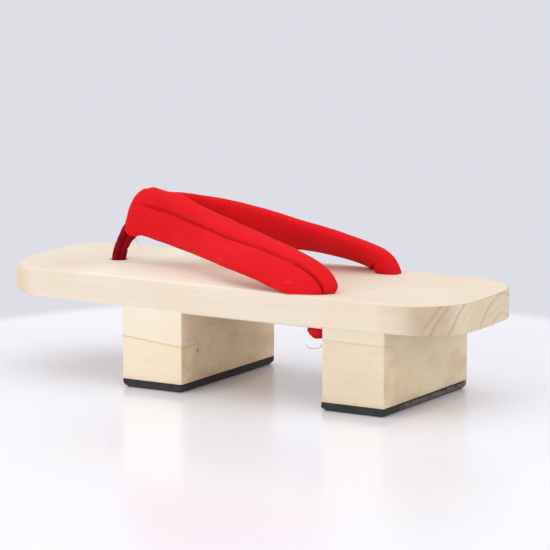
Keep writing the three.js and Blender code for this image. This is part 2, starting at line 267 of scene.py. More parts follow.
# --------------------------------------------------------- teeth and pads --
def block_ring(t, z, inset, corner, toe=0.0, heel=0.0, wave=0.0, seed=3):
    x1, x0 = t["toe"] - inset - toe, t["heel"] + inset + heel
    y1, y0 = t["a"] - inset, t["b"] + inset
    out = []
    spots = [(x1, y1, 1, 1, 0), (x0, y1, -1, 1, 90), (x0, y0, -1, -1, 180), (x1, y0, 1, -1, 270)]
    for q, (cx, cy, sx, sy, a0) in enumerate(spots):
        for i in range(7):
            a = math.radians(a0 + 15 * i)
            out.append((cx - sx * corner + corner * math.cos(a), cy - sy * corner + corner * math.sin(a)))
        nx_, ny_ = spots[(q + 1) % 4][:2]
        sx2, sy2 = spots[(q + 1) % 4][2:4]
        ex, ey = out[-1]
        a = math.radians(spots[(q + 1) % 4][4])
        fx, fy = nx_ - sx2 * corner + corner * math.cos(a), ny_ - sy2 * corner + corner * math.sin(a)
        n = 44 if q % 2 else 18
        for i in range(1, n):
            out.append((ex + (fx - ex) * i / n, ey + (fy - ey) * i / n))
    p = np.array(out)
    if wave:
        c = np.array([(x0 + x1) / 2, (y0 + y1) / 2])
        s = np.cumsum(np.hypot(*(p - np.roll(p, 1, 0)).T))
        d = p - c
        d = d / np.maximum(1e-6, np.abs(d).max(1, keepdims=True))
        d[np.abs(d) < 0.999] = 0
        p = p + d * (wave * noise2(s / 9.0, np.full(len(s), z * 0.9), seed))[:, None]
    return np.column_stack([p, np.full(len(p), float(z))])


def make_tooth(name, t, seed):
    z0, z1 = PAD_TOP + 0.02, BOTTOM + REBATE - 0.02
    front = t is FRONT
    gt, gh = (0.0, 0.02) if front else (0.02, 0.0)
    rows = [(z0, 0.35), (z0 + 0.12, 0.14), (z0 + 0.35, 0.0)] + [(z0 + (z1 - z0) * k / 12, 0.0) for k in range(1, 12)] + [(z1, 0.0)]
    rings = [block_ring(t, z, i, 0.75, gt, gh, wave=0.05, seed=seed) for z, i in rows]
    verts, faces, _ = loft(np.array(rings))
    return outward(new_object(name, verts, faces, sharp=32))


def make_pad(name, t, seed):
    p = -t["proud"]
    rows = [(0.0, 1.9, 2.2, p, 0.0), (0.0, 1.65, 2.1, p, 0.05), (0.12, 1.45, 2.0, p, 0.08), (0.72, 0.72, 1.75, p, 0.12), (1.4, 0.2, 1.45, p, 0.12),
            (1.75, 0.06, 1.3, p, 0.10), (2.4, 0.02, 1.2, p * 0.8, 0.12), (3.2, 0.0, 1.1, p * 0.6, 0.14), (3.85, 0.0, 1.0, p * 0.45, 0.16), (4.02, 0.1, 1.0, p * 0.4, 0.16), (PAD_TOP - 0.02, 0.3, 1.0, p * 0.4, 0.1)]
    rings = [block_ring(t, z, i, c, g, 0.0, wave=w, seed=seed) for z, i, c, g, w in rows]
    verts, faces, _ = loft(np.array(rings))
    return outward(new_object(name, verts, faces, sharp=38))


# ------------------------------------------------------------------ strap --
# x, y, z, half width, half thickness, plan angle, how far the outer face looks up, lean of the upper edge
ARM = np.array([
    (69.1, 3.2, 82.8, 11.5, 3.2, 0, 0, 4.4), (62.0, 3.9, 82.0, 12.1, 4.1, 2, 1, 1.6), (53.0, 4.5, 79.7, 11.7, 4.5, 6, 2, 0),
    (42.0, 6.9, 78.9, 12.6, 4.7, 13, 4, 0), (28.0, 12.2, 77.3, 12.4, 4.8, 21, 9, 0), (15.0, 17.8, 75.6, 12.1, 4.8, 22, 18, 0),
    (3.0, 22.8, 73.9, 12.1, 4.8, 21, 31, 0), (-9.0, 27.2, 72.1, 12.5, 4.7, 18, 48, 0), (-22.0, 31.0, 69.6, 12.5, 4.6, 13, 55, 0),
    (-35.0, 33.8, 66.6, 12.0, 4.5, 9, 55, 0), (-45.0, 35.1, 63.8, 11.1, 4.6, 5, 51, 0), (-51.4, 35.3, 60.8, 10.2, 4.9, 2, 41, 0),
    (-54.8, 34.9, 57.4, 9.9, 5.3, 0, 28, 0), (-56.0, 34.5, 52.6, 9.6, 5.4, 0, 20, 0)], float)
INNER = 0.80
FOLD_UP = np.array([-math.sin(math.radians(20)), 0.0, math.cos(math.radians(20))])
# where the seam runs on the outer face, as a share of the half width, by the distance in mm from the toe fold
SEAM = np.array([(-5, 0.28), (7, 0.29), (14, 0.33), (20, 0.33), (27, 0.29), (43, 0.25), (59, 0.21), (68, 0.14), (79, 0.10), (89, 0.11), (100, 0.16), (115, 0.16), (127, 0.17), (131, 0.20), (134, 0.25), (140, 0.25)], float)


def strap_half(step=0.42):
    """Sections of one arm, from its rear end to the middle plane at the toe: centre, w, n, half width, half thickness, lean, distance from the fold."""
    t = np.linspace(0, 1, 1500)
    c = catmull(ARM, t)
    k = np.exp(-0.5 * (np.arange(-30, 31) / 11.0) ** 2)
    k /= k.sum()
    pad = np.pad(c, ((30, 30), (0, 0)), mode="reflect", reflect_type="odd")
    c = np.column_stack([np.convolve(pad[:, q], k, "valid") for q in range(c.shape[1])])
    run = unit(np.gradient(c[:, :3], axis=0))
    s = np.concatenate([[0], np.cumsum(np.linalg.norm(np.diff(c[:, :3], axis=0), axis=1))])
    h, f = np.radians(c[:, 5]), np.radians(c[:, 6])
    out = np.column_stack([np.sin(h), np.cos(h), 0 * h])
    up = unit(np.cross(out, run))
    up *= np.where(up[:, 2:3] < 0, -1.0, 1.0)
    n = out * np.cos(f)[:, None] + up * np.sin(f)[:, None]
    w = -out * np.sin(f)[:, None] + up * np.cos(f)[:, None]
    blend = np.clip(1 - t * 13 / 1.6, 0, 1)[:, None]
    w = unit(w * (1 - blend) + FOLD_UP * blend)
    n = unit(n - w * (n * w).sum(1, keepdims=True))
    at = np.arange(0, s[-1], step)
    pick = lambda a: np.column_stack([np.interp(at, s, a[:, q]) for q in range(a.shape[1])])
    cc, ww, nn = pick(c), unit(pick(w)), unit(pick(n))
    arm = dict(c=cc[:, :3], w=ww, n=nn, hw=cc[:, 3], ht=cc[:, 4], lean=cc[:, 7], s=at)
    # round the toe fold to the middle plane
    deg = np.linspace(0, 90, 13)[1:]
    a = np.radians(deg)
    o = np.column_stack([np.sin(a), np.cos(a), 0 * a])
    first = cc[0]
    fold = dict(c=np.array([first[0], 0, first[2]]) + o * first[1], w=np.tile(FOLD_UP, (12, 1)), n=unit(o - FOLD_UP * (o @ FOLD_UP)[:, None]),
                hw=first[3] - 0.6 * np.sin(a), ht=first[4] - 0.1 * np.sin(a), lean=np.full(12, first[7]), s=-a * first[1])
    return {q: np.concatenate([arm[q][::-1], fold[q]]) for q in arm}


def ring_angles(n=100):
    """Angles round a section, closer together at the seam."""
    fine = np.linspace(0, 2 * math.pi, 4001)
    seam = math.acos(0.25 ** (1 / 0.84))
    d = 1 + 2.2 * np.exp(-((fine - seam) / 0.20) ** 2) + 0.5 * np.abs(np.sin(fine))
    cum = np.concatenate([[0], np.cumsum((d[1:] + d[:-1]) / 2)])
    return np.interp(np.linspace(0, cum[-1], n + 1)[:-1], cum, fine)


def strap_rings(arm, side, n=100):
    """The skin's rings for one arm; side is 1 for the arm that faces the camera and -1 for the other."""
    a = ring_angles(n)
    soft = lambda v: np.sign(v) * np.abs(v) ** 0.84
    cw = soft(np.cos(a))[None, :]
    sn = np.sin(a)[None, :]
    cn = soft(np.sin(a))[None, :] * np.where(sn < 0, INNER, 1.0)
    s = arm["s"][:, None]
    hw, ht = arm["hw"][:, None], arm["ht"][:, None]
    P = arm["c"][:, None, :] + arm["w"][:, None, :] * (hw * cw)[..., None] + arm["n"][:, None, :] * (ht * cn)[..., None]
    N = unit(arm["w"][:, None, :] * (np.cos(a)[None, :] / hw)[..., None] + arm["n"][:, None, :] * (sn / ht)[..., None])
    P[..., 0] -= arm["lean"][:, None] * np.maximum(0, cw - 0.15) ** 2
    total = arm["s"].max()
    tail = total - s                       # distance from the rear end of the section line
    d = np.zeros(P.shape[:2])
    # the sewn seam on the outer face: a trough with a soft roll above it and a fuller panel below
    u0 = np.interp(s, SEAM[:, 0], SEAM[:, 1])
    x = (cw - u0) * hw + 0.18 * noise2(s / 5.0, 0.5, 21) * np.ones_like(cw)
    face = smooth(sn, 0.15, 0.6)
    depth = (1.55 + 0.9 * smooth(-tail, -24, -8)) * (0.12 + 0.88 * smooth(s, -2.0, 12)) * (1 + 0.16 * noise2(s / 3.1, 0.5, 22))
    narrow = np.where(x > 0, np.exp(-(x / 1.1) ** 2), np.exp(-(x / 0.42) ** 2))
    broad = np.where(x > 0, np.exp(-(x / 3.2) ** 2), np.exp(-(x / 2.0) ** 2))
    d -= face * depth * (0.72 * narrow + 0.38 * broad)
    # fuller panels beside it
    d += face * 0.42 * smooth(s, 3, 18) * (np.exp(-((x - 5.0) / 3.2) ** 2) + 0.8 * np.exp(-((x + 7.0) / 4.5) ** 2))
    # stitches pull short puckers into the seam's sides
    puck = noise2(s / 1.15, 0.5 + 0 * cw, 23) * np.exp(-(np.abs(x) / 2.2) ** 2)
    d += face * 0.10 * puck * smooth(s, 6, 16)
    # padding: long soft lumps, then finer ones
    v = a[None, :] * 9.0
    wrap = 9.0 * 2 * math.pi
    blend = (a / (2 * math.pi))[None, :]
    lump = lambda su, sv, seed: (noise2(s / su, v / sv, seed + (side < 0)) * (1 - blend) + noise2(s / su, (v - wrap) / sv, seed + (side < 0)) * blend)
    d += 0.15 * lump(15, 9, 31) + 0.08 * lump(6.5, 4.5, 33) + 0.035 * lump(2.4, 2.2, 35)
    # cloth gathered into the rear hole
    g = smooth(-tail, -17, -5)
    d += g * 0.42 * np.sin(a * 11 + 1.3 * noise2(s / 7.0, 0.5, 41) + 0.6) * (0.5 + 0.5 * noise2(s / 4.0, a[None, :] * 2, 43))
    # faint pulls spreading from the loop under the toe fold
    pull = np.sin(a[None, :] * 13 + s * 0.33 + 2.0 * noise2(s / 9, 0.5, 45))
    d += 0.16 * pull * (1 - smooth(s, 4, 24)) * smooth(-cw, -0.2, 0.9)
    # the crease where the arm turns down, on its inner lower side
    for s0, a0, ds, da, dep, wid in CREASES[side]:
        px, pa = (s - s0), (a[None, :] - a0) * 9.0
        L = math.hypot(ds, da * 9.0)
        ex, ea = ds / L, da * 9.0 / L
        q = np.clip(px * ex + pa * ea, 0, L)
        dist = np.hypot(px - q * ex, pa - q * ea)
        d -= dep * np.exp(-(dist / wid) ** 2) * (1 - 0.7 * q / L)
        d += dep * 0.35 * np.exp(-((dist - 2.0 * wid) / (1.1 * wid)) ** 2) * (1 - q / L)
    P = P + N * d[..., None]
    # the fold's lower edge hangs a little square, and the nose has a soft hump on the near side only
    P -= arm["w"][:, None, :] * (1.9 * smooth(-cw, 0.25, 0.95) * (1 - smooth(s, 0.0, 7.0)))[..., None]
    upper, lower = np.array(UPPER[side], float), np.array(LOWER[side], float)
    P += arm["w"][:, None, :] * (smooth(cw, 0.0, 0.9) * np.interp(s, upper[:, 0], upper[:, 1]))[..., None]
    P -= arm["w"][:, None, :] * (smooth(-cw, 0.0, 0.9) * np.interp(s, lower[:, 0], lower[:, 1]))[..., None]
    # turned under where it rests on the board
    low = np.clip(1 - (P[..., 2] - TOP) / 1.4, 0, 1) ** 2
    hub = np.array([REAR_HOLE[0], REAR_HOLE[1]])
    r = P[..., :2] - hub
    rl = np.linalg.norm(r, axis=-1, keepdims=True)
    P[..., :2] = hub + r * (1 - 0.3 * low[..., None] / np.maximum(rl, 3.0))
    if side > 0:
        # the rear corner of this arm is tucked further in, and its front bellies out over the board
        tuck = np.clip(1 - (P[..., 2] - TOP) / 5.0, 0, 1) ** 2 * smooth(hub[0] - P[..., 0], 1.0, 8.0)
        P[..., :2] = hub + (P[..., :2] - hub) * (1 - 2.6 * tuck[..., None] / np.maximum(rl, 3.0))
        P[..., 1] += 1.3 * np.clip(1 - (P[..., 2] - TOP) / 4.0, 0, 1) ** 2 * smooth(P[..., 0] - hub[0], -3.0, 3.0) * smooth(P[..., 1] - hub[1], 0.0, 5.0)
    P[..., 1] = np.maximum(P[..., 1], 0.05 * smooth(arm["s"][:, None], 0, 0.5))
    P[..., 1] *= side
    # the two arms are not quite alike
    far = smooth(-P[..., 0], 20, 48)
    P[..., 0] += far * (1.1 if side < 0 else -1.1)
    return P, a


# place along the arm, angle, run along the arm, run in angle, depth, half width
# how far the upper edge stands up and the lower edge hangs down beyond the plain tube, by the distance from the toe fold
UPPER = {1: [(-5, 0.5), (-1, 1.1), (3, 1.2), (9, 1.6), (12, 2.1), (15, 2.5), (21, 2.6), (25, 2.2), (29, 1.4), (34, 0.6), (40, 0.1), (47, -0.4), (55, -0.7), (76, -0.7), (90, -0.5), (106, 0.0)],
         -1: [(-5, 0.5), (-1, 0.6), (3, -0.3), (6, -0.8), (9, -0.6), (12, 0.4), (15, 1.1), (18, 1.4), (21, 1.3), (25, 0.8), (30, 0.5), (44, 0.4), (54, 0.1), (64, -0.3), (74, -0.6), (84, -0.6),
              (92, -0.3), (98, -0.4), (104, -0.7), (116, -0.9), (122, -0.8), (128, -0.3), (134, 0.0)]}
LOWER = {1: [(-5, 0.0), (-1, 1.0), (3, 0.8), (6, 0.4), (12, 0.4), (18, 0.2), (36, 0.1), (54, 0.0), (68, -0.3), (84, 0.3), (92, 0.5), (104, 0.5), (110, 1.1), (116, 1.4), (122, 1.5), (128, 0.3), (134, 0.0)],
         -1: [(-5, 0.0), (-1, 0.6), (3, 0.3), (12, 0.0), (84, -0.2), (92, 0.4), (98, 0.9), (104, 0.7), (116, 0.4), (122, 0.0)]}
CREASES = {1: [(126.5, 4.1, 4.5, 1.0, 0.9, 0.8)], -1: [(125.6, 4.15, 5.2, 1.15, 1.35, 0.85)]}


def make_strap():
    arm = strap_half()
    near, a = strap_rings(arm, 1)
    far, _ = strap_rings(arm, -1)
    rings = np.concatenate([near, far[:-1][::-1]])
    # meet smoothly on the middle plane
    m = len(near) - 1
    rings[m] = (near[m] + far[m]) / 2
    rings[m][:, 1] = 0.0
    length = np.concatenate([[0], np.cumsum(np.linalg.norm(np.diff(rings.mean(1), axis=0), axis=1))]) * 0.001
    # the cloth's V runs from the seam, so that the weave follows it
    s, hw = arm["s"], arm["hw"]
    u0 = np.interp(s, SEAM[:, 0], SEAM[:, 1]) - 0.18 * noise2(s / 5.0, 0.5, 21) / hw
    off = np.arccos(np.clip(u0, 0.02, 0.9) ** (1 / 0.84)) * 8.8 * 0.001
    off = np.concatenate([off, off[:-1][::-1]])
    verts, faces, uv = loft(rings, lengths=length, around=np.append(a, 2 * math.pi) * 8.8 * 0.001)
    uv, n, quads = np.array(uv), len(a), (len(rings) - 1) * len(a) * 4
    ring_of = np.repeat(np.arange(len(rings) - 1), n * 4).reshape(-1, 4)
    ring_of[:, 2:] += 1
    uv[:quads, 1] -= off[ring_of.ravel()]
    ob = new_object("strap_cloth", verts, faces, uv)
    bm = bmesh.new()
    bm.from_mesh(ob.data)
    z = (TOP + 0.12) * 0.001
    geom = list(bm.verts) + list(bm.edges) + list(bm.faces)
    bmesh.ops.bisect_plane(bm, geom=geom, dist=1e-7, plane_co=(0, 0, z), plane_no=(0, 0, -1), clear_outer=True)
    edges = [e for e in bm.edges if e.is_boundary]
    bmesh.ops.holes_fill(bm, edges=edges, sides=0)
    bmesh.ops.recalc_face_normals(bm, faces=bm.faces)
    bm.to_mesh(ob.data)
    bm.free()
    ob.data.shade_smooth()
    ob.data.set_sharp_from_angle(angle=math.radians(70))
    return ob


def make_knot(name, cx, cy, top_z, turn, drop, size, seed):
    """A cord tied under the board: one flat turn and a strand over it; it also gives back a line of points for a stem.
    """
    r = 0.37 * drop
    ca, sa = math.cos(turn), math.sin(turn)
    place = lambda q: [(cx + x * ca - y * sa, cy + x * sa + y * ca, z) for x, y, z in q]
    loop = []
    for k in range(17):
        t = 2 * math.pi * k / 16 * 1.02
        loop.append((size[0] * 0.60 * math.cos(t), size[1] * 0.60 * math.sin(t), top_z - r * 0.95 - 0.25 * math.sin(3 * t + 0.4)))
    pieces = [tube(name + "_turn", place(loop), r * 1.02, sides=20, flat=0.92, wobble=0.12, seed=seed)]
    over = [(-size[0] * 0.55, -size[1] * 0.18, top_z - r * 0.9), (-size[0] * 0.42, -size[1] * 0.06, top_z - r * 1.7), (-size[0] * 0.05, 0.3, top_z - drop + r * 0.95),
            (size[0] * 0.38, size[1] * 0.10, top_z - r * 1.75), (size[0] * 0.62, size[1] * 0.25, top_z - r * 1.1)]
    pieces.append(tube(name + "_over", place(over), [r * 0.8, r * 1.0, r * 1.05, r * 0.95, r * 0.7], sides=20, flat=0.85, wobble=0.12, seed=seed + 1))
    stem = [(cx, cy, TOP - 0.4), (cx, cy, BOTTOM + 6), (cx + 0.2, cy, BOTTOM + 1.5), (cx - 0.3, cy, top_z - r)]
    return pieces, stem


# --------------------------------------------------------------- toe loop --
# x, z, strand radius, half the distance between the strands, plan angle of the pair
LOOP = np.array([(83.0, 37.0, 1.9, 1.6, 36), (83.0, 50.0, 1.9, 1.6, 36), (82.9, 56.5, 2.0, 1.6, 34), (81.6, 61.5, 1.9, 1.6, 30),
                 (79.2, 66.5, 2.0, 1.7, 24), (75.9, 71.0, 2.3, 2.0, 14), (72.4, 75.0, 2.4, 2.2, 8), (69.8, 78.0, 2.2, 2.1, 8)], float)


def make_loop():
    t = np.linspace(0, 0.985, 150)
    q = catmull(LOOP, t)
    c = np.column_stack([q[:, 0], 0 * t, q[:, 1]])
    run = unit(np.gradient(c, axis=0))
    turn = np.radians(q[:, 4])
    side = np.column_stack([np.cos(turn), np.sin(turn), 0 * turn])
    side = unit(side - run * (side * run).sum(1, keepdims=True))
    face = np.cross(run, side)
    n = 84
    a = np.linspace(0, 2 * math.pi, n, endpoint=False)
    cs, sn = np.abs(np.cos(a))[None, :], np.abs(np.sin(a))[None, :]
    r, d = q[:, 2:3], q[:, 3:4]
    s = np.concatenate([[0], np.cumsum(np.linalg.norm(np.diff(c, axis=0), axis=1))])[:, None]
    # the strands thin and swell a little, and the pile stands in tufts
    r = r * (1 + 0.05 * noise2(s / 4.0, 0.5, 61))
    reach = d * cs + np.sqrt(np.maximum(0, r * r - d * d * sn * sn))
    # the groove between the strands is softened by the pile
    reach = np.maximum(reach, np.sqrt(np.maximum(0.0, r * r - d * d)) * 0.92)
    lobe = np.where(np.cos(a)[None, :] > 0, 1.0, -1.0)
    reach = reach + 0.14 * noise2(s / 1.0 + 7 * lobe, a[None, :] * 5, 63) + 0.08 * noise2(s / 0.45, a[None, :] * 11, 65)
    reach -= 0.55 * np.exp(-((s - 25.5) / 0.7) ** 2) * smooth(-np.cos(a)[None, :], 0.2, 0.9)
    P = c[:, None, :] + side[:, None, :] * (reach * np.cos(a)[None, :])[..., None] + face[:, None, :] * (reach * np.sin(a)[None, :])[..., None]
    verts, faces, uv = loft(P, lengths=s[:, 0] * 0.001, around=np.linspace(0, 1, n + 1) * 0.018)
    return outward(new_object("toe_loop_velvet", verts, faces, uv, sharp=80))


# -------------------------------------------------------------- materials --
def N(nt, kind, loc=(0, 0), **props):
    """A node with its properties; keys in_X set or link the input X (a name or number)."""
    n = nt.nodes.new("ShaderNode" + kind)
    ins = {k: v for k, v in props.items() if k.startswith("in_")}
    for k, v in props.items():
        if not k.startswith("in_"):
            setattr(n, k, v)
    for k, v in ins.items():
        key = k[3:]
        sock = n.inputs[int(key)] if key.isdigit() else n.inputs[key.replace("_", " ")]
        if isinstance(v, bpy.types.NodeSocket):
            nt.links.new(v, sock)
        else:
            sock.default_value = v
    return n


class Mat:
    def __init__(self, name):
        self.m = bpy.data.materials.new(name)
        self.m.use_nodes = True
        self.nt = self.m.node_tree
        self.nt.nodes.clear()
        self.out = self.nt.nodes.new("ShaderNodeOutputMaterial")
        self.b = self.nt.nodes.new("ShaderNodeBsdfPrincipled")
        self.nt.links.new(self.b.outputs[0], self.out.inputs[0])
        self.tc = self.nt.nodes.new("ShaderNodeTexCoord")

    def math(self, op, a, b=0.0, c=0.0, clamp=False):
        return N(self.nt, "Math", operation=op, use_clamp=clamp, in_0=a, in_1=b, in_2=c).outputs[0]

    def vmath(self, op, a, b=(0, 0, 0), scale=None):
        n = N(self.nt, "VectorMath", operation=op, in_0=a)
        if scale is not None:
            n.inputs["Scale"].default_value = scale
        elif isinstance(b, bpy.types.NodeSocket):
            self.nt.links.new(b, n.inputs[1])
        else:
            n.inputs[1].default_value = b
        return n.outputs["Value"] if op in ("LENGTH", "DOT_PRODUCT", "DISTANCE") else n.outputs["Vector"]

    def mm(self):
        """Place in millimetres in the object's own frame."""
        return self.vmath("SCALE", self.tc.outputs["Object"], scale=1000.0)

    def xyz(self, v):
        return N(self.nt, "SeparateXYZ", in_0=v).outputs

    def vec(self, x, y, z):
        return N(self.nt, "CombineXYZ", in_0=x, in_1=y, in_2=z).outputs[0]

    def noise(self, v, scale, detail=3.0, rough=0.5, distort=0.0):
        return N(self.nt, "TexNoise", in_Vector=v, in_Scale=scale, in_Detail=detail, in_Roughness=rough, in_Distortion=distort).outputs["Fac"]

    def step(self, v, a, b, lo=0.0, hi=1.0):
        n = N(self.nt, "MapRange", interpolation_type="SMOOTHSTEP", in_Value=v)
        n.inputs["From Min"].default_value, n.inputs["From Max"].default_value = a, b
        n.inputs["To Min"].default_value, n.inputs["To Max"].default_value = lo, hi
        return n.outputs["Result"]

    def mix(self, f, a, b, mode="MIX"):
        n = N(self.nt, "Mix", data_type="RGBA", blend_type=mode)
        for sock, v in ((n.inputs[0], f), (n.inputs[6], a), (n.inputs[7], b)):
            if isinstance(v, bpy.types.NodeSocket):
                self.nt.links.new(v, sock)
            else:
                sock.default_value = v
        return n.outputs[2]

    def bump(self, h, strength, distance, normal=None):
        n = N(self.nt, "Bump", in_Strength=strength, in_Distance=distance, in_Height=h)
        if normal is not None:
            self.nt.links.new(normal, n.inputs["Normal"])
        return n.outputs[0]

    def set(self, **kw):
        for k, v in kw.items():
            s = self.b.inputs[k.replace("_", " ")]
            if isinstance(v, bpy.types.NodeSocket):
                self.nt.links.new(v, s)
            else:
                s.default_value = v


WOOD_LIGHT = (0.782, 0.686, 0.565, 1)
WOOD_WARM = (0.738, 0.612, 0.452, 1)
WOOD_LINE = (0.520, 0.395, 0.260, 1)


def wood(name, kind):
    """Pale softwood. kind is board, front or rear: the board's grain runs along X, the teeth's along Y."""
    m = Mat(name)
    p = m.mm()
    x, y, z = m.xyz(p)
    nx, ny, nz = m.xyz(m.tc.outputs["Normal"])
    if kind == "board":
        along, end = x, m.math("ABSOLUTE", nx)
        stretch = m.vec(m.math("MULTIPLY", x, 0.035), y, z)
        slow = m.vec(m.math("MULTIPLY", x, 0.012), m.math("MULTIPLY", y, 0.06), m.math("MULTIPLY", z, 0.06))
    else:
        along, end = y, m.math("ABSOLUTE", ny)
        stretch = m.vec(x, m.math("MULTIPLY", y, 0.035), z)
        slow = m.vec(m.math("MULTIPLY", x, 0.06), m.math("MULTIPLY", y, 0.016), m.math("MULTIPLY", z, 0.06))
    end = m.step(end, 0.14, 0.52) if kind == "board" else m.step(end, 0.55, 0.92)
    warp = m.noise(slow, 1.0, 2.0, 0.5)
    warp2 = m.noise(m.vmath("SCALE", slow, scale=5.0), 1.0, 2.0, 0.5)
    if kind == "board":
        # growth rings round a line under one side of the board
        r = m.vmath("LENGTH", m.vec(0.0, m.math("ADD", y, 48.0), m.math("ADD", z, 39.0)))
        r = m.math("ADD", r, m.math("ADD", m.math("MULTIPLY", m.math("SUBTRACT", warp, 0.5), 9.0), m.math("MULTIPLY", m.math("SUBTRACT", warp2, 0.5), 1.6)))
        pitch = 4.3
    else:
        q = m.math("SUBTRACT", 45.1, y)
        if kind == "front":
            zl = m.math("ADD", m.math("MULTIPLY", m.math("SUBTRACT", x, 16.5), 0.083), 23.3)
            zl = m.math("ADD", zl, m.math("ADD", m.math("MULTIPLY", q, -0.1307), m.math("MULTIPLY", m.math("MULTIPLY", q, q), 0.01093)))
            bow = m.math("MULTIPLY", m.math("MULTIPLY", m.math("SUBTRACT", x, 40.0), m.math("SUBTRACT", x, 40.0)), 0.0035)
        else:
            zl = m.math("ADD", 34.85, m.math("MULTIPLY", m.math("MULTIPLY", q, q), -0.0165))
            bow = m.math("MULTIPLY", m.math("MULTIPLY", m.math("ADD", x, 75.0), m.math("ADD", x, 75.0)), -0.0040)
        r = m.math("ADD", m.math("SUBTRACT", z, zl), bow)
        r = m.math("ADD", r, m.math("ADD", m.math("MULTIPLY", m.math("SUBTRACT", warp, 0.5), 4.0), m.math("MULTIPLY", m.math("SUBTRACT", warp2, 0.5), 1.0)))
        pitch = 4.6
    # uneven ring spacing
    r1 = m.vec(m.math("MULTIPLY", r, 0.11), 3.7, 0.0)
    phase = m.math("ADD", m.math("DIVIDE", r, pitch), m.math("MULTIPLY", m.noise(r1, 1.0, 1.0), 1.7))
    saw = m.math("FRACT", phase)
    late = m.math("MULTIPLY", m.step(saw, 0.35, 0.93), m.step(saw, 0.93, 1.0, 1.0, 0.0))
    which = m.noise(m.vec(m.math("FLOOR", phase), 0.5, 0.0), 0.77, 0.0)
    late = m.math("MULTIPLY", late, m.step(which, 0.3, 0.7, 0.25, 1.0))
    # blotches where the line shows more or less
    late = m.math("MULTIPLY", late, m.step(m.noise(m.vmath("SCALE", stretch, scale=0.10), 1.0, 2.0), 0.3, 0.65, 0.35, 1.0))
    fibre = m.noise(m.vmath("SCALE", stretch, scale=1.3), 1.0, 3.0, 0.6)
    streak = m.noise(m.vmath("SCALE", stretch, scale=0.22), 1.0, 2.0, 0.5)
    pores = m.step(m.noise(m.vmath("SCALE", stretch, scale=3.2), 1.0, 1.0, 0.5), 0.70, 0.80)
    tint = m.noise(p, 0.021, 2.0, 0.5)
    col = m.mix(m.step(tint, 0.35, 0.68), WOOD_LIGHT, m.mix(0.55, WOOD_LIGHT, WOOD_WARM))
    col = m.mix(m.math("MULTIPLY", m.step(streak, 0.42, 0.72), 0.35), col, WOOD_WARM)
    line = m.math("MULTIPLY", late, m.math("ADD", 0.07, m.math("MULTIPLY", end, 0.20 if kind == "board" else 0.03)))
    col = m.mix(line, col, WOOD_LINE)
    col = m.mix(m.math("MULTIPLY", m.step(fibre, 0.45, 0.75), 0.09), col, WOOD_LINE)
    col = m.mix(m.math("MULTIPLY", pores, 0.10), col, (0.42, 0.29, 0.17, 1))
    # end grain drinks light
    col = m.mix(end, col, m.mix(1.0, col, (0.96, 0.925, 0.855, 1) if kind == "board" else (0.99, 0.97, 0.93, 1), "MULTIPLY"))
    height = m.math("ADD", m.math("MULTIPLY", fibre, 0.55), m.math("MULTIPLY", late, -0.5))
    if kind == "board":
        # the heel end is sawn across the rings: darker wood, with late rings round the pith showing as short strokes
        sawn = m.math("MULTIPLY", m.step(nx, -0.10, -0.46), m.step(nx, -0.93, -0.72))
        col = m.mix(sawn, col, m.mix(1.0, col, (0.81, 0.77, 0.75, 1), "MULTIPLY"))
        start = m.math("ADD", m.math("MULTIPLY", m.step(x, -92.5, -98.5), 0.55), m.math("MULTIPLY", m.step(x, -98.0, -107.0), 0.45))
        corner = m.math("MULTIPLY", m.math("MULTIPLY", start, m.step(nx, -0.74, -0.16)), m.step(m.math("ABSOLUTE", nz), 0.85, 0.35))
        col = m.mix(corner, col, m.mix(1.0, col, (0.89, 0.87, 0.81, 1), "MULTIPLY"))
        pith = m.vmath("LENGTH", m.vec(0.0, m.math("ADD", y, 12.0), m.math("SUBTRACT", z, 27.0)))
        pith = m.math("ADD", pith, m.math("MULTIPLY", m.math("SUBTRACT", m.noise(p, 0.16, 2.0), 0.5), 1.6))
        # rough sawn fibres follow the rings
        fibres = m.noise(m.vec(m.math("MULTIPLY", pith, 0.9), m.math("MULTIPLY", y, 0.03), m.math("MULTIPLY", x, 0.03)), 1.0, 3.0, 0.6)
        mottle = m.noise(p, 0.55, 3.0, 0.6)
        cut_face = m.math("MULTIPLY", m.math("MAXIMUM", corner, m.step(nx, -0.2, -0.5)), m.step(m.math("ABSOLUTE", nz), 0.85, 0.35))
        rough_cut = m.math("ADD", m.math("MULTIPLY", m.step(fibres, 0.46, 0.70), 0.16), m.math("MULTIPLY", m.step(mottle, 0.50, 0.75), 0.12))
        col = m.mix(m.math("MULTIPLY", cut_face, rough_cut), col, (0.44, 0.32, 0.19, 1))
        height = m.math("SUBTRACT", height, m.math("MULTIPLY", m.math("MULTIPLY", cut_face, fibres), 0.8))
        for rad, wide, dark in HEEL_LINES:
            g = m.math("DIVIDE", m.math("SUBTRACT", pith, rad), wide)
            g = m.math("EXPONENT", m.math("MULTIPLY", m.math("MULTIPLY", g, g), -1.0))
            g = m.math("MULTIPLY", g, m.math("MULTIPLY", m.step(nx, -0.30, -0.55), dark))
            col = m.mix(g, col, (0.42, 0.30, 0.17, 1))
            height = m.math("SUBTRACT", height, m.math("MULTIPLY", g, 1.6))
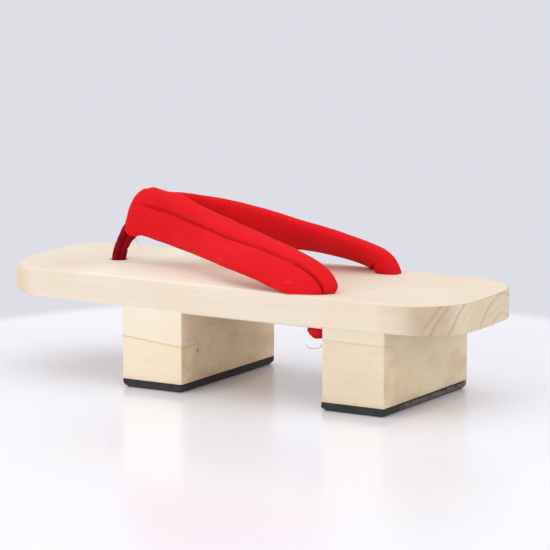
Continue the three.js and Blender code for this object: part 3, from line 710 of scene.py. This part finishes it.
        # painted light on the top: a paler middle, and a faint rose round the rear holes
        # the middle of the top is tinted paler, standing in for light that this scene lacks there
        mid = m.math("MULTIPLY", m.math("MULTIPLY", m.step(x, -40.0, 0.0), m.step(x, 94.0, 66.0)), m.step(nz, 0.7, 0.95))
        col = m.mix(mid, col, m.mix(1.0, col, (1.09, 1.18, 1.19, 1), "MULTIPLY"))
        # painted reflection: a faint rose round the rear holes, standing in for red light thrown on the top by the
        # strap
        near_hole = m.vmath("LENGTH", m.vec(m.math("ADD", x, 54.0), m.math("SUBTRACT", m.math("ABSOLUTE", y), 34.0), m.math("MULTIPLY", m.math("SUBTRACT", z, TOP), 2.0)))
        painted_red_reflection = m.math("MULTIPLY", m.step(near_hole, 17.0, 8.0), m.step(m.noise(p, 0.35, 2.0), 0.35, 0.7, 0.2, 1.0))
        col = m.mix(m.math("MULTIPLY", painted_red_reflection, 0.05), col, (0.62, 0.26, 0.20, 1))
    else:
        if kind == "front":
            reach, strong = m.step(q, 20.0, 5.0), 0.60
        else:
            reach, strong = m.step(q, 15.0, 3.0), 0.40
        zl = m.math("ADD", zl, m.math("MULTIPLY", m.math("SUBTRACT", m.noise(p, 0.16, 2.0), 0.5), 1.0))
        dz = m.math("SUBTRACT", z, zl)
        # a dark late ring, sharp above and fading below
        above, below = m.step(dz, 0.0, 0.55, 1.0, 0.0), m.step(dz, -3.6, -0.05, 0.0, 1.0)
        thin = m.step(m.math("ABSOLUTE", m.math("ADD", dz, 0.15)), 0.05, 0.75 if kind == "front" else 0.62, 1.0, 0.0)
        line = m.math("MULTIPLY", m.math("MULTIPLY", thin, reach), strong)
        soft_line = m.math("MULTIPLY", m.math("MULTIPLY", m.math("MULTIPLY", above, below), reach), strong * 0.75)
        col = m.mix(soft_line, col, (0.740, 0.590, 0.365, 1))
        col = m.mix(line, col, WOOD_LINE)
        # the wood is yellower on the lower side of that ring
        lower = m.math("MULTIPLY", m.step(dz, 0.3, -0.3), 0.45)
        col = m.mix(lower, col, m.mix(1.0, col, (0.985, 0.950, 0.845, 1), "MULTIPLY"))
        # painted light: the front tooth's colour is lifted and the rear tooth's dulled a touch, standing in for light
        # that falls on them differently
        col = m.mix(1.0, col, (1.105, 1.145, 1.19, 1) if kind == "front" else (0.975, 1.00, 0.995, 1), "MULTIPLY")
        # painted warm bounce light: the faces across the shoe are tinted warmer
        across = m.step(m.math("ABSOLUTE", nx), 0.5, 0.9)
        col = m.mix(across, col, m.mix(1.0, col, (1.01, 0.93, 0.81, 1) if kind == "front" else (1.005, 0.970, 0.885, 1), "MULTIPLY"))
        # soft stains
        stain = m.step(m.noise(m.vec(m.math("MULTIPLY", x, 0.06), m.math("MULTIPLY", y, 0.04), m.math("MULTIPLY", z, 0.08)), 1.0, 2.0), 0.46, 0.72)
        col = m.mix(m.math("MULTIPLY", stain, 0.13), col, (0.60, 0.46, 0.28, 1))
        # painted warm reflection and shade: tan clouds on the faces across the shoe, stronger low down
        cloud = m.math("MULTIPLY", m.step(m.noise(m.vec(0.0, m.math("MULTIPLY", y, 0.05), m.math("MULTIPLY", z, 0.11)), 1.0, 3.0, 0.55), 0.40, 0.66), m.step(z, 40.0, 14.0, 0.25, 1.0))
        col = m.mix(m.math("MULTIPLY", across, m.math("MULTIPLY", cloud, 0.42)), col, (0.58, 0.375, 0.235, 1))
        height = m.math("SUBTRACT", height, m.math("MULTIPLY", line, 1.0))
        if kind == "front":
            # one small brown knot on the heel-side face
            k = m.vmath("LENGTH", m.vec(m.math("MULTIPLY", m.math("SUBTRACT", x, 16.5), 0.5), m.math("MULTIPLY", m.math("SUBTRACT", y, 30.1), 0.85), m.math("MULTIPLY", m.math("SUBTRACT", z, 19.4), 0.75)))
            k = m.math("ADD", k, m.math("MULTIPLY", m.math("SUBTRACT", m.noise(p, 1.4, 2.0), 0.5), 0.7))
            col = m.mix(m.math("MULTIPLY", m.step(k, 0.95, 0.35), 0.85), col, (0.22, 0.085, 0.04, 1))
            col = m.mix(m.math("MULTIPLY", m.step(k, 3.2, 0.9), 0.18), col, WOOD_LINE)
            k2 = m.vmath("LENGTH", m.vec(m.math("MULTIPLY", m.math("SUBTRACT", x, 16.5), 0.5), m.math("MULTIPLY", m.math("SUBTRACT", y, 17.0), 0.7), m.math("SUBTRACT", z, 30.6)))
            col = m.mix(m.math("MULTIPLY", m.step(k2, 1.6, 0.4), 0.16), col, (0.30, 0.17, 0.09, 1))
    # dust and handling darken the lowest edge of the wood a touch
    grime = m.math("MULTIPLY", m.step(z, 7.5, 4.1), m.step(m.noise(p, 0.30, 3.0), 0.40, 0.75))
    col = m.mix(m.math("MULTIPLY", grime, 0.10), col, (0.30, 0.23, 0.16, 1))
    rough = m.math("ADD", 0.56, m.math("MULTIPLY", fibre, 0.16))
    normal = m.bump(height, 0.35, 0.00012)
    m.set(Base_Color=col, Roughness=rough, Normal=normal)
    m.set(Specular_IOR_Level=0.28)
    return m.m


# late rings on the heel end: distance from the pith, half width, darkness
HEEL_LINES = [(56.1, 0.75, 0.52), (53.5, 0.70, 0.58), (50.6, 0.60, 0.18), (47.2, 0.60, 0.58), (43.5, 0.6, 0.12), (36.0, 0.6, 0.12), (28.2, 0.75, 0.42), (22.8, 0.6, 0.16), (18.3, 0.65, 0.36)]


def red_cloth(name, painted_shade_dim=1.0, seam=False):
    """Fine matte weave over padding."""
    m = Mat(name)
    p = m.mm()
    u, v, _ = m.xyz(m.tc.outputs["UV"])
    k = 2 * math.pi / 0.00040
    wob = m.noise(p, 0.9, 2.0)
    su = m.math("SINE", m.math("ADD", m.math("MULTIPLY", u, k), m.math("MULTIPLY", wob, 2.2)))
    sv = m.math("SINE", m.math("ADD", m.math("MULTIPLY", v, k), m.math("MULTIPLY", wob, 1.6)))
    weave = m.math("MULTIPLY", su, sv)
    # slubs: single threads a little thicker or lighter
    warp = m.noise(m.vec(m.math("MULTIPLY", u, 2500.0), m.math("MULTIPLY", v, 60.0), 0.0), 1.0, 1.0)
    weft = m.noise(m.vec(m.math("MULTIPLY", u, 60.0), m.math("MULTIPLY", v, 2500.0), 5.0), 1.0, 1.0)
    slub = m.math("ADD", warp, weft)
    broad = m.noise(p, 0.055, 2.0)
    fuzz = m.noise(p, 2.6, 3.0, 0.65)
    # painted shade: the factor below 1 darkens the red for the cord pieces that sit in shade
    col = m.mix(m.step(broad, 0.35, 0.7), (0.690 * painted_shade_dim, 0.0070, 0.0125, 1), (0.735 * painted_shade_dim, 0.0095, 0.0160, 1))
    col = m.mix(m.math("MULTIPLY", m.step(weave, -0.6, 0.5, 1.0, 0.0), 0.20), col, (0.50 * painted_shade_dim, 0.003, 0.006, 1))
    col = m.mix(m.math("MULTIPLY", m.step(slub, 0.95, 1.35), 0.10), col, (0.82, 0.022, 0.030, 1))
    col = m.mix(m.math("MULTIPLY", m.step(fuzz, 0.55, 0.8), 0.06), col, (0.84, 0.035, 0.045, 1))
    if seam:
        # painted shade in the seam: a dark line along its bottom, and painted shade on the roll above it running down
        # into it
        vs = m.math("MULTIPLY", v, 1000.0)
        g = m.math("DIVIDE", m.math("ADD", vs, 0.02), 0.26)
        g = m.math("EXPONENT", m.math("MULTIPLY", m.math("MULTIPLY", g, g), -1.0))
        above = m.math("MULTIPLY", m.step(vs, -1.9, -0.15), m.step(vs, 0.0, 0.25, 1.0, 0.0))
        uneven = m.step(m.noise(m.vec(m.math("MULTIPLY", u, 420.0), 0.0, 0.0), 1.0, 2.0), 0.30, 0.68, 0.70, 1.0)
        uneven = m.math("MULTIPLY", uneven, m.step(x_of(m, p), 73.0, 56.0, 0.30, 1.0))
        col = m.mix(m.math("MULTIPLY", m.math("MULTIPLY", above, uneven), 0.24), col, (0.34, 0.002, 0.006, 1))
        col = m.mix(m.math("MULTIPLY", m.math("MULTIPLY", g, uneven), 0.50), col, (0.26, 0.001, 0.004, 1))
        # lint and a rubbed spot
        spot = m.vmath("DISTANCE", p, (-50.8, 43.6, 60.9))
        col = m.mix(m.math("MULTIPLY", m.step(spot, 0.52, 0.15), 0.45), col, (0.88, 0.30, 0.30, 1))
        hair = m.vmath("LENGTH", m.vec(m.math("MULTIPLY", m.math("ADD", x_of(m, p), 44.5), 0.16), 0.0, m.math("SUBTRACT", z_of(m, p), 61.4)))
        hair = m.math("MULTIPLY", m.step(hair, 0.55, 0.2), m.step(m.xyz(p)[1], 30.0, 36.0))
        col = m.mix(m.math("MULTIPLY", hair, 0.06), col, (0.90, 0.35, 0.35, 1))
    height = m.math("ADD", m.math("ADD", m.math("MULTIPLY", weave, 0.40), m.math("MULTIPLY", slub, 0.55)), m.math("MULTIPLY", fuzz, 0.5))
    m.set(Base_Color=col, Normal=m.bump(height, 0.45, 0.00010), Roughness=m.math("ADD", 0.78, m.math("MULTIPLY", fuzz, 0.14)))
    m.set(Specular_IOR_Level=0.10)
    m.set(Sheen_Weight=0.06)
    m.set(Sheen_Roughness=0.45)
    m.set(Sheen_Tint=(1.0, 0.25, 0.25, 1))
    return m.m


def x_of(m, p):
    return m.xyz(p)[0]


def z_of(m, p):
    return m.xyz(p)[2]


def velvet(name):
    """Dark crimson pile that lightens where it is brushed."""
    m = Mat(name)
    p = m.mm()
    tuft = m.noise(p, 1.7, 3.0, 0.6)
    pile = m.noise(p, 5.0, 2.0, 0.6)
    brushed = m.noise(p, 0.30, 2.0)
    col = m.mix(m.step(brushed, 0.35, 0.7), (0.205, 0.0022, 0.0060, 1), (0.320, 0.0045, 0.0100, 1))
    col = m.mix(m.math("MULTIPLY", m.step(tuft, 0.5, 0.75), 0.55), col, (0.440, 0.008, 0.018, 1))
    col = m.mix(m.math("MULTIPLY", m.step(pile, 0.35, 0.6, 1.0, 0.0), 0.40), col, (0.050, 0.001, 0.002, 1))
    h = m.math("ADD", m.math("MULTIPLY", tuft, 0.8), m.math("MULTIPLY", pile, 0.7))
    m.set(Base_Color=col, Normal=m.bump(h, 0.8, 0.00022), Roughness=m.math("ADD", 0.80, m.math("MULTIPLY", pile, 0.15)))
    m.set(Specular_IOR_Level=0.06)
    m.set(Sheen_Weight=0.22)
    m.set(Sheen_Roughness=0.35)
    m.set(Sheen_Tint=(1.0, 0.10, 0.12, 1))
    return m.m


def rubber(name, dust_and_highlight):
    m = Mat(name)
    p = m.mm()
    x, y, z = m.xyz(p)
    nx, ny, nz = m.xyz(m.tc.outputs["Normal"])
    grain = m.noise(p, 2.4, 3.0, 0.6)
    fine = m.noise(p, 7.0, 2.0, 0.6)
    cloud = m.noise(p, 0.22, 3.0, 0.55)
    col = m.mix(m.step(cloud, 0.35, 0.7), (0.0190, 0.0165, 0.0160, 1), (0.037, 0.0325, 0.0315, 1))
    # painted highlight: the tread's chamfer and corners are lighter grey, broken up by the grain noise
    bevel = m.math("MULTIPLY", m.step(z, 2.2, 1.0), m.step(grain, 0.25, 0.75, 0.35, 1.0))
    col = m.mix(m.math("MULTIPLY", bevel, 0.70), col, (0.072, 0.066, 0.066, 1))
    tread = m.step(nz, -0.8, -0.98)
    scuff = m.noise(m.vec(m.math("MULTIPLY", x, 0.15), y, z), 0.9, 3.0, 0.6)
    col = m.mix(m.math("MULTIPLY", m.math("MULTIPLY", tread, m.step(scuff, 0.45, 0.75)), 0.6), col, (0.16, 0.145, 0.13, 1))
    if dust_and_highlight:
        # dried glue and dust along the heel side
        face = m.step(nx, -0.35, -0.7)
        band = m.math("MULTIPLY", m.step(m.math("ADD", z, m.math("MULTIPLY", m.math("SUBTRACT", m.noise(m.vec(0.0, y, 0.0), 0.35, 2.0), 0.5), 1.2)), 3.55, 3.1), m.step(z, 0.25, 0.8))
        run = m.math("MULTIPLY", m.step(y, 33.0, 22.0), m.step(m.noise(m.vec(0.0, y, m.math("MULTIPLY", z, 1.5)), 0.30, 3.0, 0.6), 0.33, 0.52))
        smear = m.math("MULTIPLY", m.math("MULTIPLY", face, band), run)
        col = m.mix(m.math("MULTIPLY", smear, 0.80), col, m.mix(grain, (0.085, 0.070, 0.055, 1), (0.230, 0.190, 0.150, 1)))
        # painted highlight: a light grey streak on the rounded far corner of the pad
        painted_corner_highlight = m.math("MULTIPLY", m.math("MULTIPLY", m.step(y, -36.5, -38.5), m.step(nx, 0.2, -0.3)), m.step(grain, 0.35, 0.6))
        col = m.mix(m.math("MULTIPLY", painted_corner_highlight, 0.75), col, (0.42, 0.37, 0.35, 1))
    h = m.math("ADD", m.math("MULTIPLY", grain, 0.7), m.math("MULTIPLY", fine, 0.5))
    m.set(Base_Color=col, Normal=m.bump(h, 0.4, 0.00018), Roughness=m.math("ADD", 0.62, m.math("MULTIPLY", cloud, 0.25)))
    m.set(Specular_IOR_Level=0.35)
    return m.m


def thread(name, colour, bright):
    m = Mat(name)
    f = m.noise(m.mm(), 3.0, 2.0)
    m.set(Base_Color=m.mix(f, colour, bright), Normal=m.bump(f, 0.3, 0.00005))
    m.set(Roughness=0.8)
    m.set(Sheen_Weight=0.3)
    return m.m


# --------------------------------------------------------------- assembly --
def put(ob, material, slot, *nodes, padded=None):
    ob.data.materials.clear()
    ob.data.materials.append(material)
    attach(ob, "root")
    if nodes:
        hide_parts(*nodes)
    return ob


put(make_board(), wood("wood_board", "board"), "wood", "board")
put(make_tooth("tooth_front", FRONT, 71), wood("wood_tooth_front", "front"), "wood", "front_tooth")
put(make_tooth("tooth_rear", REAR, 73), wood("wood_tooth_rear", "rear"), "wood", "rear_tooth")
put(make_pad("tread_pad_front", FRONT, 75), rubber("rubber_front", False), "rubber", "front_pad")
put(make_pad("tread_pad_rear", REAR, 77), rubber("rubber_rear", True), "rubber", "rear_pad")

cloth = red_cloth("red_weave", seam=True)
put(make_strap(), cloth, "red_cloth", "strap", padded=0.7)
# painted shade: the cord pieces in the holes and under the board use the strap cloth made darker
cord_cloth = red_cloth("red_weave_cord", 0.86)
for side in (1, -1):
    tag = "a" if side > 0 else "b"
    knots, stem = make_knot("strap_end_" + tag, -57.3, side * 35.2, BOTTOM, side * 0.5, 6.7, (6.0, 8.2), 81 + side)
    hx, hy = REAR_HOLE[0], side * REAR_HOLE[1]
    stem = [(hx, hy, TOP + 0.6), (hx, hy, TOP - 5), (hx, hy, BOTTOM + 6), (hx - 0.2, hy + side * 0.2, BOTTOM + 1.5), (hx - 0.7, hy + side * 0.6, BOTTOM - 2.4)]
    put(tube("strap_stem_" + tag, stem, [5.2, 5.1, 5.0, 4.9, 3.6], sides=32, wobble=0.10, seed=85), cord_cloth, "red_cloth")
    for k in knots:
        put(k, cord_cloth, "red_cloth")

vel = velvet("crimson_pile")
put(make_loop(), vel, "crimson_velvet", "toe_loop", padded=0.8)
knots, _ = make_knot("toe_end", TOE_HOLE[0], 0.0, BOTTOM + REBATE, 0.3, 6.4, (6.6, 7.0), 91)
for k in knots:
    put(k, vel, "crimson_velvet")

# stray threads
grey = thread("thread_grey", (0.33, 0.31, 0.31, 1), (0.50, 0.47, 0.46, 1))
put(tube("stray_thread_tail", [(-62.0, 37.6, 35.2), (-60.6, 38.0, 31.6), (-58.6, 38.2, 29.4), (-55.6, 38.4, 28.7), (-52.6, 38.2, 28.9), (-50.9, 37.8, 30.2)], [0.2, 0.2, 0.19, 0.18, 0.16, 0.12], sides=8, steps=6), grey, None)
put(tube("stray_fibre_loop", [(72.2, 1.6, 69.6), (71.2, 2.2, 67.9), (70.3, 2.6, 66.6), (69.4, 2.3, 65.4)], [0.13, 0.12, 0.11, 0.07], sides=8, steps=6), grey, None)


# ---------------------------------------------------- floor, light, camera --
def make_floor():
    """A round white table top that runs on towards the viewer."""
    c, r = np.array([-5.0, -12.8]), 1.0
    n = 96
    pts = [(2600 * math.cos(2 * math.pi * k / n), 2600 * math.sin(2 * math.pi * k / n), -0.05) for k in range(n)]
    return new_object("table_top", pts, [tuple(range(n))])


floor = make_floor()
fm = Mat("table_white")
fx, fy, fz = fm.xyz(fm.mm())
fx, fy = fm.math("ADD", fx, 5.0), fm.math("ADD", fy, 12.8)
far = fm.math("MAXIMUM", fm.math("ADD", fm.math("MULTIPLY", fx, 0.513), fm.math("MULTIPLY", fy, -0.858)), 0.0)
lat = fm.math("ADD", fm.math("MULTIPLY", fx, 0.858), fm.math("MULTIPLY", fy, 0.513))
dist = fm.vmath("LENGTH", fm.vec(far, lat, 0.0))
haze = fm.step(dist, 213.0, 238.0)
WALL = (0.730, 0.738, 0.791, 1)
fm.set(Base_Color=fm.mix(fm.noise(fm.mm(), 0.02, 2.0), (0.86, 0.85, 0.885, 1), (0.88, 0.87, 0.90, 1)), Roughness=0.20)
fm.set(Specular_IOR_Level=0.5)
glow = N(fm.nt, "Emission", in_Color=WALL, in_Strength=1.0)
mixer = N(fm.nt, "MixShader", in_0=haze, in_1=fm.b.outputs[0], in_2=glow.outputs[0])
fm.nt.links.new(mixer.outputs[0], fm.out.inputs[0])
floor.data.materials.append(fm.m)

world = bpy.data.worlds.new("studio")
scene.world = world
world.use_nodes = True
bg = world.node_tree.nodes["Background"]
bg.inputs[0].default_value = WALL
bg.inputs[1].default_value = 1.0


def area(name, at, to, size, watts, colour=(1, 1, 1)):
    d = bpy.data.lights.new(name, "AREA")
    d.shape, d.size, d.size_y, d.energy, d.color = "RECTANGLE", size[0], size[1], watts, colour
    o = bpy.data.objects.new(name, d)
    o.location = at
    o.rotation_euler = (Vector(to) - Vector(at)).to_track_quat("-Z", "Y").to_euler()
    scene.collection.objects.link(o)
    return o


area("overhead", (0.15, 0.05, 1.7), (0, 0, 0), (2.4, 2.0), 12.8, (1.0, 0.995, 0.98))
area("front", (0.72, 2.05, 0.78), (0, 0, 0.05), (1.9, 1.1), 18.2, (1.0, 0.99, 0.965))
area("heelward", (-1.9, -0.25, 0.80), (0, 0, 0.04), (2.2, 1.3), 9.5, (1.0, 0.99, 0.965))

cam = bpy.data.objects.new("camera", bpy.data.cameras.new("camera"))
scene.collection.objects.link(cam)
cam.data.lens, cam.data.sensor_width = 229.0909, 36.0
cam.data.clip_start, cam.data.clip_end = 0.05, 20.0
right, up_, back = Vector((-0.858152, -0.513396, 0.0)), Vector((0.085948, -0.143663, 0.985887)), Vector((-0.506151, 0.846041, 0.16741))
M = Matrix.Identity(4)
for i in range(3):
    M[i][0], M[i][1], M[i][2] = right[i], up_[i], back[i]
M.translation = (-0.89927328, 1.48537865, 0.349475044)
cam.matrix_world = M
scene.camera = cam
scene.view_settings.view_transform = "Standard"
scene.view_settings.look = "None"
